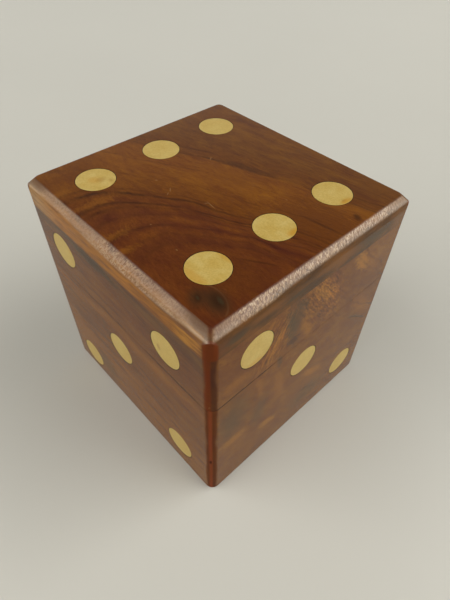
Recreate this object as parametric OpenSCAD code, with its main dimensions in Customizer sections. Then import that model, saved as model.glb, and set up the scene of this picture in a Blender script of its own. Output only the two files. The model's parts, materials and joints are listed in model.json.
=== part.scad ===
// Die-shaped puzzle box: a hardwood box with inlaid pips and a lift-off lid.
// Two loose steel pins lock the lid from inside. Spinning the box throws them outward and frees it.
// Origin: centre of the underside. +Z is up, -Y is the front and +X is the right-hand side.

/* [Box] */
// Width of the closed box, left to right
box_w = 76; // [70:0.5:110]
// Depth of the closed box, front to back
box_d = 72.5; // [66:0.5:110]
// Height of the closed box
box_h = 76; // [70:0.5:100]
// Height of the lid, top board included
lid_h = 28; // [26:0.5:32]

/* [Boards] */
// Thickness of the mitred side boards
wall_t = 8; // [7:0.5:10]
// Thickness of the top board, which lies over the side boards
top_t = 8; // [5:0.5:9]
// Thickness of the bottom board, which is let in between the side boards
bottom_t = 8; // [4:0.5:10]
// Thickness of the liner strips glued inside the base
liner_t = 5; // [4.5:0.25:7]

/* [Edges] */
// Width of the chamfer round the top, seen from above
chamfer_run = 2.3; // [0.5:0.1:4]
// Height of the chamfer round the top, seen from the side
chamfer_drop = 2.5; // [0.5:0.1:4]
// Radius sanded on the four upright edges
corner_r = 2.8; // [0.5:0.1:5]
// Radius sanded round the foot
foot_r = 1.5; // [0.5:0.1:3]
// Lead-in chamfer on the rim of the liner
rim_chamfer = 0.8; // [0.2:0.1:1.2]

/* [Pips] */
// Diameter of a pip
pip_d = 10.8; // [6:0.2:12]
// Depth of a pip, flush with its face
pip_depth = 2.5; // [1.5:0.25:3.5]
// Distance of the outer pips from the upright edges
pip_edge = 14; // [12:0.5:17]
// Distance of the upper side pips below the top
pip_drop = 16.5; // [16:0.25:18]
// Height of the lower side pips
pip_rise = 11.5; // [10.5:0.25:14]

/* [Lock] */
// Diameter of a lock pin
pin_d = 3; // [2:0.1:4]
// How far a locked pin reaches into the liner
pin_engage = 2.5; // [1:0.1:3]
// Chamfer on the ends of a pin
pin_chamfer = 0.3; // [0.1:0.05:0.6]
// Height of the liner's rim above the upper pips' centre line
rim_over_pin = 5; // [4.5:0.25:6]

/* [Fits] */
// Glue line round each pip
glue_gap = 0.05; // [0.02:0.01:0.1]
// Gap between the lid and the liner's rim, on each side
lid_clear = 0.2; // [0.1:0.05:0.5]
// Radial running clearance of a pin in its bore
pin_clear = 0.08; // [0.03:0.01:0.1]
// End float of a pin in its bore, at each end
pin_end_gap = 0.1; // [0.05:0.05:0.4]
// Radial clearance of a locked pin in its catch hole
catch_clear = 0.7; // [0.4:0.1:1]
// Room left beyond the tip of a locked pin
catch_end_gap = 0.4; // [0.2:0.1:0.8]

/* [Hidden] */
$fn = 64;
cut = 1; // how far a cutter runs past the face that it opens

seam_z = box_h - lid_h;
top_z = box_h - top_t;
inner_w = box_w - 2 * wall_t;
inner_d = box_d - 2 * wall_t;
rim_w = inner_w - 2 * lid_clear;
rim_d = inner_d - 2 * lid_clear;

col_x = box_w / 2 - pip_edge;
col_y = box_d / 2 - pip_edge;
high_z = box_h - pip_drop;
low_z = pip_rise;
mid_z = (high_z + low_z) / 2;
rim_z = high_z + rim_over_pin;

pin_len = wall_t - pip_depth - 2 * pin_end_gap;
catch_depth = pin_engage + catch_end_gap;

// Each pip: node name, face, place marked out on the face, and how far the hand drill strayed.
// A place is [x, y] on top and underneath, [x, z] in front and behind, [y, z] on the two ends.
PIPS = [
    ["pip_top_left_back", "top", [-col_x, col_y], [-0.5, 0]],
    ["pip_top_left_middle", "top", [-col_x, 0], [-0.5, 0.5]],
    ["pip_top_left_front", "top", [-col_x, -col_y], [0.5, 0]],
    ["pip_top_right_back", "top", [col_x, col_y], [-1, -2]],
    ["pip_top_right_middle", "top", [col_x, 0], [-1.5, -1.5]],
    ["pip_top_right_front", "top", [col_x, -col_y], [-1.5, -0.5]],
    ["pip_front_upper_left", "front", [-col_x, high_z], [0.5, -0.5]],
    ["pip_front_upper_right", "front", [col_x, high_z], [-2, -2]],
    ["pip_front_middle", "front", [0, mid_z], [-2, -1]],
    ["pip_front_lower_left", "front", [-col_x, low_z], [-1.5, -2.5]],
    ["pip_front_lower_right", "front", [col_x, low_z], [-0.5, 0.5]],
    ["pip_right_upper", "right", [-col_y, high_z], [0.5, 1]],
    ["pip_right_middle", "right", [0, mid_z], [-0.5, 0.5]],
    ["pip_right_lower", "right", [col_y, low_z], [1.5, 1.5]],
    ["pip_back_upper", "back", [-col_x, high_z], [0, 0]],
    ["pip_back_lower", "back", [col_x, low_z], [0, 0]],
    ["pip_left_upper_front", "left", [-col_y, high_z], [0, 0]],
    ["pip_left_upper_back", "left", [col_y, high_z], [0, 0]],
    ["pip_left_lower_front", "left", [-col_y, low_z], [0, 0]],
    ["pip_left_lower_back", "left", [col_y, low_z], [0, 0]],
    ["pip_bottom", "bottom", [0, 0], [0, 0]],
];

// The pips that cover the outer ends of the two pin bores.
LOCKS = [
    ["lock_pin_right", "right", "pip_right_upper"],
    ["lock_pin_left", "left", "pip_left_upper_back"],
];

SIDES = ["front", "right", "back", "left"];

function place(pip) = pip[2] + pip[3];
function place_of(name) = [for (pip = PIPS) if (pip[0] == name) place(pip)][0];

// Puts children on a face of the box, with +Z pointing out of the face.
module on_face(face, at) {
    if (face == "top") translate([at.x, at.y, box_h]) children();
    if (face == "bottom") translate([at.x, at.y, 0]) rotate([180, 0, 0]) children();
    if (face == "front") translate([at.x, -box_d / 2, at.y]) rotate([90, 0, 0]) children();
    if (face == "back") translate([at.x, box_d / 2, at.y]) rotate([-90, 0, 0]) children();
    if (face == "right") translate([box_w / 2, at.x, at.y]) rotate([0, 90, 0]) children();
    if (face == "left") translate([-box_w / 2, at.x, at.y]) rotate([0, -90, 0]) children();
}

// Block centred on the Z axis with a chamfer round its top: two crossed profiles.
module bevelled_block(width, depth, height, run, drop) {
    intersection() {
        rotate([90, 0, 0])
            linear_extrude(depth, center = true)
                bevelled_profile(width, height, run, drop);
        rotate([90, 0, 90])
            linear_extrude(width, center = true)
                bevelled_profile(depth, height, run, drop);
    }
}

module bevelled_profile(width, height, run, drop) {
    polygon([
        [-width / 2, 0],
        [width / 2, 0],
        [width / 2, height - drop],
        [width / 2 - run, height],
        [-width / 2 + run, height],
        [-width / 2, height - drop],
    ]);
}

// Rectangle with round corners, as crossed squares and four circles.
module round_rectangle(width, depth, radius) {
    square([width - 2 * radius, depth], center = true);
    square([width, depth - 2 * radius], center = true);
    for (x = [-1, 1], y = [-1, 1])
        translate([x * (width / 2 - radius), y * (depth / 2 - radius)])
            circle(r = radius);
}

// Profile with round lower corners and an open top, for the sanded foot.
module foot_profile(width) {
    translate([0, box_h])
        round_rectangle(width, 2 * box_h, foot_r);
}

// The outside of the closed box, which the boards share.
module outer_form() {
    intersection() {
        bevelled_block(box_w, box_d, box_h, chamfer_run, chamfer_drop);
        linear_extrude(box_h)
            round_rectangle(box_w, box_d, corner_r);
        rotate([90, 0, 0])
            linear_extrude(box_d, center = true)
                foot_profile(box_w);
        rotate([90, 0, 90])
            linear_extrude(box_w, center = true)
                foot_profile(box_d);
    }
}

// Strip along one side of a width by depth frame, mitred at both ends.
module mitred_strip(side, width, depth, thick, from_z, to_z) {
    long_side = side == "front" || side == "back" ? width : depth;
    across = side == "front" || side == "back" ? depth : width;
    turn = side == "front" ? 0 : side == "right" ? 90 : side == "back" ? 180 : 270;
    rotate([0, 0, turn])
        translate([0, -across / 2, from_z])
            linear_extrude(to_z - from_z)
                polygon([
                    [-long_side / 2, 0],
                    [long_side / 2, 0],
                    [long_side / 2 - thick, thick],
                    [-long_side / 2 + thick, thick],
                ]);
}

// Blind bores for every pip of one face.
module pip_bores(face) {
    for (pip = PIPS)
        if (pip[1] == face)
            on_face(face, place(pip))
                translate([0, 0, -pip_depth])
                    cylinder(d = pip_d + 2 * glue_gap, h = pip_depth + cut);
}

module pip(name) {
    for (pip = PIPS)
        if (pip[0] == name)
            color("khaki")
                on_face(pip[1], place(pip))
                    translate([0, 0, -pip_depth])
                        cylinder(d = pip_d, h = pip_depth);
}

module lid_top_board() {
    color("saddlebrown")
        difference() {
            intersection() {
                outer_form();
                translate([0, 0, top_z + top_t / 2])
                    cube([box_w + cut, box_d + cut, top_t], center = true);
            }
            pip_bores("top");
        }
}

// Lid side board. The two end boards also hold the bore of a lock pin, under its pip.
module lid_wall(side) {
    color("sienna")
        difference() {
            intersection() {
                outer_form();
                mitred_strip(side, box_w, box_d, wall_t, seam_z, top_z);
            }
            pip_bores(side);
            for (lock = LOCKS)
                if (lock[1] == side)
                    on_face(side, place_of(lock[2]))
                        translate([0, 0, -wall_t - cut])
                            cylinder(d = pin_d + 2 * pin_clear, h = wall_t + cut);
        }
}

module base_wall(side) {
    color("sienna")
        difference() {
            intersection() {
                outer_form();
                mitred_strip(side, box_w, box_d, wall_t, 0, seam_z);
            }
            pip_bores(side);
        }
}

module base_bottom_board() {
    color("saddlebrown")
        difference() {
            translate([0, 0, bottom_t / 2])
                cube([inner_w, inner_d, bottom_t], center = true);
            pip_bores("bottom");
        }
}

// Liner strip: it fills the base wall, then rises into the lid as a slimmer rim.
// The end strips have a blind catch hole in the rim for the lock pin.
module liner(side) {
    color("peru")
        difference() {
            union() {
                mitred_strip(side, inner_w, inner_d, liner_t, bottom_t, seam_z);
                intersection() {
                    mitred_strip(side, rim_w, rim_d, liner_t - lid_clear, bottom_t, rim_z);
                    bevelled_block(rim_w, rim_d, rim_z, rim_chamfer, rim_chamfer);
                }
            }
            for (lock = LOCKS)
                if (lock[1] == side)
                    on_face(side, place_of(lock[2]))
                        translate([0, 0, -wall_t - lid_clear - catch_depth])
                            cylinder(d = pin_d + 2 * catch_clear, h = catch_depth + cut);
        }
}

// Loose steel pin, drawn thrown outward against the pip that covers its bore.
module lock_pin(name) {
    for (lock = LOCKS)
        if (lock[0] == name)
            color("silver")
                on_face(lock[1], place_of(lock[2]))
                    translate([0, 0, -pip_depth - pin_end_gap - pin_len])
                        rotate_extrude()
                            polygon([
                                [0, 0],
                                [pin_d / 2 - pin_chamfer, 0],
                                [pin_d / 2, pin_chamfer],
                                [pin_d / 2, pin_len - pin_chamfer],
                                [pin_d / 2 - pin_chamfer, pin_len],
                                [0, pin_len],
                            ]);
}

lid_top_board();
base_bottom_board();
for (side = SIDES) {
    lid_wall(side);
    base_wall(side);
    liner(side);
}
for (pip = PIPS)
    pip(pip[0]);
for (lock = LOCKS)
    lock_pin(lock[0]);
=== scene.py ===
import json
import math

import bmesh
import bpy
from mathutils import Matrix, Vector

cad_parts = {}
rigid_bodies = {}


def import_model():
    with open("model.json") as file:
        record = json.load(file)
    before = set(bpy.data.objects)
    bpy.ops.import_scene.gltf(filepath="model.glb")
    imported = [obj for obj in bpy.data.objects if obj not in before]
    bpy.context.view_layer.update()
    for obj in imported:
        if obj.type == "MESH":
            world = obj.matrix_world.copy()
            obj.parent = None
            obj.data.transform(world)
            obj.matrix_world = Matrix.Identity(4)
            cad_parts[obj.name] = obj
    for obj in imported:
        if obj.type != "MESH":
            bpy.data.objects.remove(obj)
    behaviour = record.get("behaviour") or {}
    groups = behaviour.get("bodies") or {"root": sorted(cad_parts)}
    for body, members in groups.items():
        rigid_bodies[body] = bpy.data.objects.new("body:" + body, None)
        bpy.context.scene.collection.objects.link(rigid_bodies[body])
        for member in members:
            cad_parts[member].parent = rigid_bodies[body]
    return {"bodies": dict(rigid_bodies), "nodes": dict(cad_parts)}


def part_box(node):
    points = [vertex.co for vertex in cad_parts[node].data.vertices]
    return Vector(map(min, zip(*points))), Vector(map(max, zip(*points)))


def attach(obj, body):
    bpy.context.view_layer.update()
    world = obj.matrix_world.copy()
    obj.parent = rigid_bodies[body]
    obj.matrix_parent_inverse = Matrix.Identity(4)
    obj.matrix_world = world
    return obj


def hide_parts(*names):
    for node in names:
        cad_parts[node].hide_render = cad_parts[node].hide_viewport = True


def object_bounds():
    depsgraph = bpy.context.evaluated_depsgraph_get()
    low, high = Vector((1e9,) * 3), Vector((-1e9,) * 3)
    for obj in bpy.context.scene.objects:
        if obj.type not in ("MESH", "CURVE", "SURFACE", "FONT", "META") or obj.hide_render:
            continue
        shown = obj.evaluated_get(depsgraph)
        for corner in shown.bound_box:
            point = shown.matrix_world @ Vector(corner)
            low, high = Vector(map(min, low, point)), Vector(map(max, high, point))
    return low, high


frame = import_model()
cad_low, cad_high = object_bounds()


# ---- Camera ----
# It looks down on the front right corner from close by. The top, the front and the right
# end are in view.
CAMERA_PLACE = (0.0776, -0.07061, 0.14429)
CAMERA_TURN = (42.826, -0.867, 46.969)
SENSOR_WIDTH = 36.0
FOCAL_LENGTH = 27.395
NEAREST_SEEN = 0.005

camera_data = bpy.data.cameras.new("camera")
camera_data.sensor_width = SENSOR_WIDTH
camera_data.lens = FOCAL_LENGTH
camera_data.clip_start = NEAREST_SEEN
camera = bpy.data.objects.new("camera", camera_data)
camera.location = CAMERA_PLACE
camera.rotation_euler = [math.radians(angle) for angle in CAMERA_TURN]
bpy.context.scene.collection.objects.link(camera)
bpy.context.scene.camera = camera
bpy.context.scene.view_settings.view_transform = "Standard"


# ---- Table top and lamps ----
# A pale, faintly glossy table top in a plain room. A big soft lamp stands on each side, and
# a weak one behind the camera.
TABLE_SIZE = 3.0
TABLE_COLOUR = (0.625, 0.615, 0.57, 1)
TABLE_SHADE = 0.98
ROOM_COLOUR = (0.80, 0.78, 0.70, 1)
ROOM_LOW = 1.0
ROOM_HIGH = 0.03
ROOM_FADES_BY = 0.8
BRIGHT_WALL = (-0.75, 0.66, 0)
WALL_GLOW = 0.45


def set_inputs(node, entries):
    """Sets a node's inputs to numbers, to colours or to another node's output."""
    for entry, value in entries.items():
        if isinstance(value, bpy.types.NodeSocket):
            node.id_data.links.new(value, node.inputs[entry])
        else:
            node.inputs[entry].default_value = value


def add_node(kind, entries, **settings):
    """Adds a shader node with its settings and inputs, to the tree that the inputs are from."""
    linked = [value for value in entries.values() if isinstance(value, bpy.types.NodeSocket)]
    node = linked[0].id_data.nodes.new("ShaderNode" + kind)
    for setting, value in settings.items():
        setattr(node, setting, value)
    set_inputs(node, entries)
    return node


def sum_up(operation, *values):
    """A Math node, by its operation."""
    return add_node("Math", dict(enumerate(values)), operation=operation).outputs[0]


def times(product, *factors):
    """Some numbers multiplied together."""
    for factor in factors:
        product = sum_up("MULTIPLY", product, factor)
    return product


def scaled(amount, factor, plus):
    """A number times a factor, plus another number."""
    return sum_up("MULTIPLY_ADD", amount, factor, plus)


def cross_fade(amount, start, end, low=0.0, high=1.0):
    """Turns a number between start and end into one between low and high, eased."""
    return add_node(
        "MapRange", {0: amount, 1: start, 2: end, 3: low, 4: high},
        interpolation_type="SMOOTHSTEP",
    ).outputs[0]


def ramp_of(amount, stops, ease="LINEAR"):
    """A colour ramp from a list of (position, colour), with its colour output."""
    ramp = add_node("ValToRGB", {"Fac": amount})
    ramp.color_ramp.interpolation = ease
    elements = ramp.color_ramp.elements
    while len(elements) < len(stops):
        elements.new(1.0)
    for element, (position, colour) in zip(elements, stops):
        element.position = position
        element.color = (*colour[:3], 1)
    return ramp.outputs["Color"]


def mottling(place, scale, detail=3.0, **more):
    """Soft noise from 0 to 1, with so many clouds to each unit of the place."""
    entries = {"Vector": place, "Scale": scale, "Detail": detail, **more}
    return add_node("TexNoise", entries).outputs["Fac"]


def place_of(tree):
    """Place on a piece, in metres."""
    return tree.nodes.new("ShaderNodeTexCoord").outputs["Object"]


def new_finish(name):
    """A material with an empty Principled surface: the material, its tree and the surface."""
    finish = bpy.data.materials.new(name)
    finish.use_nodes = True
    tree = finish.node_tree
    tree.nodes.clear()
    surface = tree.nodes.new("ShaderNodeBsdfPrincipled")
    add_node("OutputMaterial", {"Surface": surface.outputs["BSDF"]})
    return finish, tree, surface


def new_piece(name, shape, finish):
    """Makes an object of a bmesh, with its finish, and links it to the scene."""
    mesh = bpy.data.meshes.new(name)
    shape.to_mesh(mesh)
    shape.free()
    mesh.materials.append(finish)
    piece = bpy.data.objects.new(name, mesh)
    bpy.context.scene.collection.objects.link(piece)
    return piece


table_finish, tree, surface = new_finish("table_laminate")
table_tint = ramp_of(mottling(place_of(tree), 9.0), [
    (0.3, [TABLE_SHADE * channel for channel in TABLE_COLOUR]), (0.7, TABLE_COLOUR),
])
set_inputs(surface, {
    "Base Color": table_tint, "Roughness": 0.32, "Specular IOR Level": 0.55,
})
table = bmesh.new()
bmesh.ops.create_grid(table, x_segments=4, y_segments=4, size=TABLE_SIZE / 2)
table_top = new_piece("table_top", table, table_finish)

room = bpy.data.worlds.new("room")
room.use_nodes = True
sky = room.node_tree
direction = sky.nodes.new("ShaderNodeTexCoord").outputs["Generated"]
rise = add_node("SeparateXYZ", {0: direction}).outputs["Z"]
facing_wall = add_node(
    "VectorMath", {0: direction, 1: BRIGHT_WALL}, operation="DOT_PRODUCT"
).outputs["Value"]
glow = cross_fade(rise, 0.0, ROOM_FADES_BY, ROOM_LOW, ROOM_HIGH)
set_inputs(sky.nodes["Background"], {
    "Color": ROOM_COLOUR, "Strength": times(glow, scaled(facing_wall, WALL_GLOW, 1.0)),
})
bpy.context.scene.world = room

# name, compass angle from +X, height angle, width, height, watts
LAMPS = [
    ("lamp_left", -117, 39, 1.80, 1.70, 21.5),
    ("lamp_right", 44, 36, 1.80, 1.70, 29.0),
    ("lamp_behind_camera", -45, 46, 1.40, 1.00, 4.0),
]
LAMP_DISTANCE = 1.80
LAMP_AIM = Vector((0, 0, 0.03))
LAMP_COLOUR = (1.0, 0.985, 0.93)
for name, compass, lift, lamp_width, lamp_height, watts in LAMPS:
    lamp_data = bpy.data.lights.new(name, "AREA")
    lamp_data.shape = "RECTANGLE"
    lamp_data.size = lamp_width
    lamp_data.size_y = lamp_height
    lamp_data.energy = watts
    lamp_data.color = LAMP_COLOUR
    lamp = bpy.data.objects.new(name, lamp_data)
    bearing = math.radians(compass)
    level = math.cos(math.radians(lift))
    towards_lamp = Vector((
        level * math.cos(bearing), level * math.sin(bearing), math.sin(math.radians(lift)),
    ))
    lamp.location = LAMP_AIM + towards_lamp * LAMP_DISTANCE
    lamp.rotation_euler = towards_lamp.to_track_quat("Z", "Y").to_euler()
    lamp.visible_camera = False
    bpy.context.scene.collection.objects.link(lamp)


# ---- Top board ----
# A slab of rosewood glued over the side boards, with a chamfer round it and six blind
# seats for pips. Satin lacquer covers it, thick and pebbly on the chamfer.
MM = 0.001
BOX_WIDTH = cad_high.x - cad_low.x
BOX_DEPTH = cad_high.y - cad_low.y
BOX_HEIGHT = cad_high.z
TOP_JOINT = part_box("lid_top_board")[0].z
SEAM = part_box("base_front_wall")[1].z
CORNER_ROUND = 2.8 * MM
CORNER_FLATS = 8
SOLE_ROUND = 1.5 * MM
SOLE_FLATS = 5
CHAMFER_RUN = 2.3 * MM
CHAMFER_DROP = 2.5 * MM
CHAMFER_LIP_EASE = 0.3 * MM
LIP_FLATS = 3
CHAMFER_FOOT_EASE = 1.3 * MM
FOOT_FLATS = 5
MITRE_ROUND = 2.2 * MM
MITRE_FLATS = 6
RING_POINTS = 64
SEAT_EASE = 0.08 * MM
PIP_DEPTH = 2.5 * MM
GLUE_GAP = 0.05 * MM
SQUARE_ON = 0.999
LEAST_FLAT = 20 * MM * MM
HAIR = 0.01 * MM
SAME_SPOT = 1e-7
CREASE_ANGLE = 40
FLATS_WEIGHT = 80
GLUE_SLOT = 1
CHAMFER_SLOT = 2
CHAMFER_LEANS = (0.06, 0.98)

UP = Vector((0, 0, 1))
OUTWARD = {
    "front": Vector((0, -1, 0)),
    "right": Vector((1, 0, 0)),
    "back": Vector((0, 1, 0)),
    "left": Vector((-1, 0, 0)),
    "top": UP,
    "bottom": -UP,
}
SIDES = ("front", "right", "back", "left")


def reach(side):
    """How far a side of the box lies from the middle of the box."""
    return (BOX_WIDTH if side in ("left", "right") else BOX_DEPTH) / 2


def bevel(shape, edges, offset, segments):
    """Rounds edges of the shape."""
    bmesh.ops.bevel(
        shape, geom=edges, offset=offset, offset_type="OFFSET", segments=segments,
        profile=0.5, affect="EDGES", clamp_overlap=True, material=-1,
    )


def saw(shape, point, waste):
    """Cuts the shape through a point, throws away what waste points to and closes the cut."""
    bmesh.ops.bisect_plane(
        shape, geom=shape.verts[:] + shape.edges[:] + shape.faces[:], dist=SAME_SPOT,
        plane_co=point, plane_no=waste, clear_outer=True,
    )
    close_up(shape, [edge for edge in shape.edges if edge.is_boundary])


def close_up(shape, edges):
    """Closes the openings inside loops of edges."""
    bmesh.ops.holes_fill(shape, edges=edges, sides=0)


def face_out(shape):
    """Turns the faces of the shape outward."""
    bmesh.ops.recalc_face_normals(shape, faces=shape.faces)


def whole_outside():
    """The outside of the glued cube, before the boards are told apart."""
    cube = bmesh.new()
    bmesh.ops.create_cube(cube, size=1)
    bmesh.ops.scale(cube, vec=(BOX_WIDTH, BOX_DEPTH, BOX_HEIGHT), verts=cube.verts)
    bmesh.ops.translate(cube, vec=(0, 0, BOX_HEIGHT / 2), verts=cube.verts)
    upright = [e for e in cube.edges if abs(e.verts[0].co.z - e.verts[1].co.z) > MM]
    bevel(cube, upright, CORNER_ROUND, CORNER_FLATS)
    sole = [e for e in cube.edges if max(v.co.z for v in e.verts) < MM]
    bevel(cube, sole, SOLE_ROUND, SOLE_FLATS)
    for side in SIDES:
        out = OUTWARD[side]
        start = out * (reach(side) - CHAMFER_RUN) + UP * BOX_HEIGHT
        saw(cube, start, out * CHAMFER_DROP + UP * CHAMFER_RUN)
    return cube


def facing(middle, out):
    """The turn and shift that lay a flat round shape at a middle, facing outward."""
    return Matrix.Translation(middle) @ out.to_track_quat("Z", "Y").to_matrix().to_4x4()


def new_ring(shape, middle, out, radius):
    """A loose ring of edges on a face."""
    ring = set(bmesh.ops.create_circle(
        shape, segments=RING_POINTS, radius=radius, matrix=facing(middle, out)
    )["verts"])
    return [edge for edge in shape.edges if ring.issuperset(edge.verts)]


def only(kind, found):
    """The parts of one kind, vertices or edges, of what an operator found."""
    return [part for part in found if isinstance(part, kind)]


def drill(shape, out, holes, lining=0):
    """Blind holes in one flat face, each a (middle, radius, depth, ease of its mouth).
    Their walls get the lining, a material's number. It gives back the edges at the bottom
    of each hole, which is left open."""
    first = holes[0][0]
    flats = [f for f in shape.faces if f.normal.dot(out) > SQUARE_ON]
    flat = min(
        (f for f in flats if f.calc_area() > LEAST_FLAT),
        key=lambda f: (f.calc_center_median() - first).length,
    )
    fence = list(flat.edges)
    level = flat.verts[0].co.dot(out)
    bmesh.ops.delete(shape, geom=[flat], context="FACES_ONLY")
    middles = [hole[0] + out * (level - hole[0].dot(out)) for hole in holes]
    mouths = [
        new_ring(shape, middle, out, radius + ease)
        for middle, (_, radius, _, ease) in zip(middles, holes)
    ]
    bmesh.ops.triangle_fill(shape, edges=fence + sum(mouths, []), normal=out, use_beauty=True)
    floors = []
    for mouth, middle, (_, radius, depth, ease) in zip(mouths, middles, holes):
        shrink = radius / (radius + ease)
        lip = bmesh.ops.extrude_edge_only(shape, edges=mouth)["geom"]
        lip_verts = only(bmesh.types.BMVert, lip)
        bmesh.ops.scale(
            shape, vec=(shrink, shrink, shrink), verts=lip_verts,
            space=Matrix.Translation(-middle),
        )
        bmesh.ops.translate(shape, vec=-out * ease, verts=lip_verts)
        lip_edges = only(bmesh.types.BMEdge, lip)
        wall = bmesh.ops.extrude_edge_only(shape, edges=lip_edges)["geom"]
        wall_verts = only(bmesh.types.BMVert, wall)
        bmesh.ops.translate(shape, vec=-out * (depth - ease), verts=wall_verts)
        for face in only(bmesh.types.BMFace, lip + wall):
            face.material_index = lining
        floors.append(only(bmesh.types.BMEdge, wall))
    return floors


def pips_on(side, body):
    """The names of the pips of one face that ride on a body."""
    return [
        name for name, node in frame["nodes"].items()
        if name.startswith("pip_" + side) and node.parent is frame["bodies"][body]
    ]


def middle_of(name):
    """The middle of a CAD node's box."""
    low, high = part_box(name)
    return (low + high) / 2


def round_size(name):
    """The radius of a round CAD node: half of the middle one of its three sizes."""
    low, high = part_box(name)
    return sorted(high - low)[1] / 2


def smooth_over(piece):
    """Shades the curves smooth, and keeps the flats flat and the sharp edges sharp."""
    mesh = piece.data
    for face in mesh.polygons:
        face.use_smooth = True
    mesh.set_sharp_from_angle(angle=math.radians(CREASE_ANGLE))
    weigh = piece.modifiers.new("flat_faces", "WEIGHTED_NORMAL")
    weigh.keep_sharp = True
    weigh.weight = FLATS_WEIGHT


def new_board(name, shape, wood):
    """A piece whose faces are wood, with glue in the seats of its pips."""
    face_out(shape)
    piece = new_piece(name, shape, wood)
    piece.data.materials.append(old_glue)
    smooth_over(piece)
    return piece


def drill_seats(shape, side, pips):
    """The blind seats of some pips. It gives back the open floor of each."""
    holes = [
        (middle_of(pip), round_size(pip) + GLUE_GAP, PIP_DEPTH, SEAT_EASE)
        for pip in pips
    ]
    return dict(zip(pips, drill(shape, OUTWARD[side], holes, GLUE_SLOT)))


OLD_GLUE = (0.030, 0.014, 0.007)
GLUE_SHADE = 0.6
old_glue, tree, surface = new_finish("old_glue")
glue_tint = ramp_of(mottling(place_of(tree), 900.0, 2.0), [
    (0.35, [GLUE_SHADE * channel for channel in OLD_GLUE]), (0.65, OLD_GLUE),
])
set_inputs(surface, {
    "Base Color": glue_tint, "Roughness": 0.8, "Specular IOR Level": 0.1,
})

# Rosewood colours, as light-linear red, green and blue.
DARK_HEART = (0.022, 0.008, 0.004)
RED_BROWN = (0.120, 0.036, 0.007)
AMBER = (0.25, 0.092, 0.011)
GOLD_SAP = (0.31, 0.125, 0.012)
BRIGHT_SAP = (0.40, 0.175, 0.016)
GREY_BROWN = (0.100, 0.052, 0.018)
GREY_BLUE = (0.060, 0.042, 0.022)
CORNER_RED = (0.142, 0.031, 0.010)
CORNER_PAINTED_HIGHLIGHT = (0.215, 0.048, 0.017)
CORNER_FLANK_SHADE = (0.110, 0.032, 0.012)
CORNER_PAINTED_SHADE = (0.074, 0.027, 0.016)
PIT_DARK = (0.004, 0.002, 0.001)
# Pale scratches; on the front's seam the same colour paints glints.
PALE_SCRATCH_AND_GLINT = (0.26, 0.13, 0.045)
KNOT_GREEN = (0.050, 0.040, 0.020)
KNOT_SHADE = (0.048, 0.024, 0.010)
KNOT_RING = (0.19, 0.080, 0.035)
# Chamfer tones: a pale lacquer that is partly wear and partly a painted highlight, a paler painted
# highlight, and a painted shade.
PALE_WEAR_AND_SHEEN = (0.44, 0.270, 0.140)
PAINTED_HIGHLIGHT_TONE = (0.66, 0.53, 0.38)
PAINTED_SHADE_TONE = (0.135, 0.072, 0.036)

# The order of X, Y and Z that gives each face's two directions and its depth.
READ_AS = {
    "top": (0, 1, 2), "bottom": (0, 1, 2), "front": (0, 2, 1), "back": (0, 2, 1),
    "left": (1, 2, 0), "right": (1, 2, 0),
}
RING_SPAN = 80.0
ENDLESS = 1000.0
HALF_GIRTH = (BOX_WIDTH + BOX_DEPTH) / 2 / MM
LONGER_REACH = (BOX_DEPTH - BOX_WIDTH) / 2 / MM
CHAMFER_FOOT = (BOX_HEIGHT - CHAMFER_DROP) / MM
CHAMFER_LIP = CHAMFER_DROP / MM
CORNER_SKIN = 2.2
PORE_SHARE = 0.5

# Lacquers: how much each bends light, its roughness, and how much of the grain's rise shows.
SATIN = (1.21, 0.20, 0.25)
THICK = (1.62, 0.25, 0.6)
GRAIN_RISE = 0.08 * MM


def away_from(amount, centre):
    """How far a number is from a centre, either way."""
    return sum_up("ABSOLUTE", sum_up("SUBTRACT", amount, centre))


def lay_over(amount, under, over, how="MIX"):
    """Mixes a colour over another by an amount."""
    entries = {0: amount, 6: under, 7: over}
    for slot in (6, 7):
        if not isinstance(entries[slot], bpy.types.NodeSocket):
            entries[slot] = (*entries[slot][:3], 1)
    return add_node("Mix", entries, data_type="RGBA", blend_type=how).outputs[2]


def tinted(colour, amount, noise, *shades):
    """Multiplies a colour by shades that follow a noise."""
    return lay_over(amount, colour, ramp_of(noise, shades), "MULTIPLY")


def apart(place):
    """The three numbers of a place."""
    node = add_node("SeparateXYZ", {0: place})
    return [node.outputs[axis] for axis in "XYZ"]


def joined(across, up, depth):
    """A place from three numbers."""
    return add_node("CombineXYZ", {0: across, 1: up, 2: depth}).outputs[0]


def bump_of(strength, rise, height):
    """Small bumps on a surface, from a height of 0 to 1 and what that rises to."""
    entries = {"Strength": strength, "Distance": rise, "Height": height}
    return add_node("Bump", entries).outputs[0]


def moved(operation, *places):
    """A Vector Math node that adds up, subtracts or multiplies places, by its operation."""
    return add_node("VectorMath", dict(enumerate(places)), operation=operation).outputs[0]


def place_in_mm(tree):
    """Place on a piece, in millimetres."""
    entries = {0: place_of(tree), "Scale": 1 / MM}
    return add_node("VectorMath", entries, operation="SCALE").outputs[0]


def face_place(tree, side):
    """Place on a face in millimetres: across, up and depth."""
    in_mm = apart(place_in_mm(tree))
    return joined(*[in_mm[axis] for axis in READ_AS[side]])


def wander(place, size, shift, seed):
    """Bends a place by a soft noise, so that nothing drawn with it runs straight."""
    start = moved("ADD", place, (seed, 3 * seed, 7 * seed))
    soft = add_node("TexNoise", {"Vector": start, "Scale": 1 / size, "Detail": 2.0})
    centred = moved("SUBTRACT", soft.outputs["Color"], (0.5, 0.5, 0.5))
    return moved("MULTIPLY_ADD", centred, (shift, shift, shift), place)


def along(place, turn, length, width, start=(0, 0), depth=None):
    """Place measured from a start in lengths along a direction and widths across it."""
    return add_node("Mapping", {
        "Vector": place,
        "Location": Vector(start).to_3d(),
        "Rotation": (0, 0, math.radians(turn)),
        "Scale": (length, width, width if depth is None else depth),
    }, vector_type="TEXTURE").outputs[0]


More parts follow.
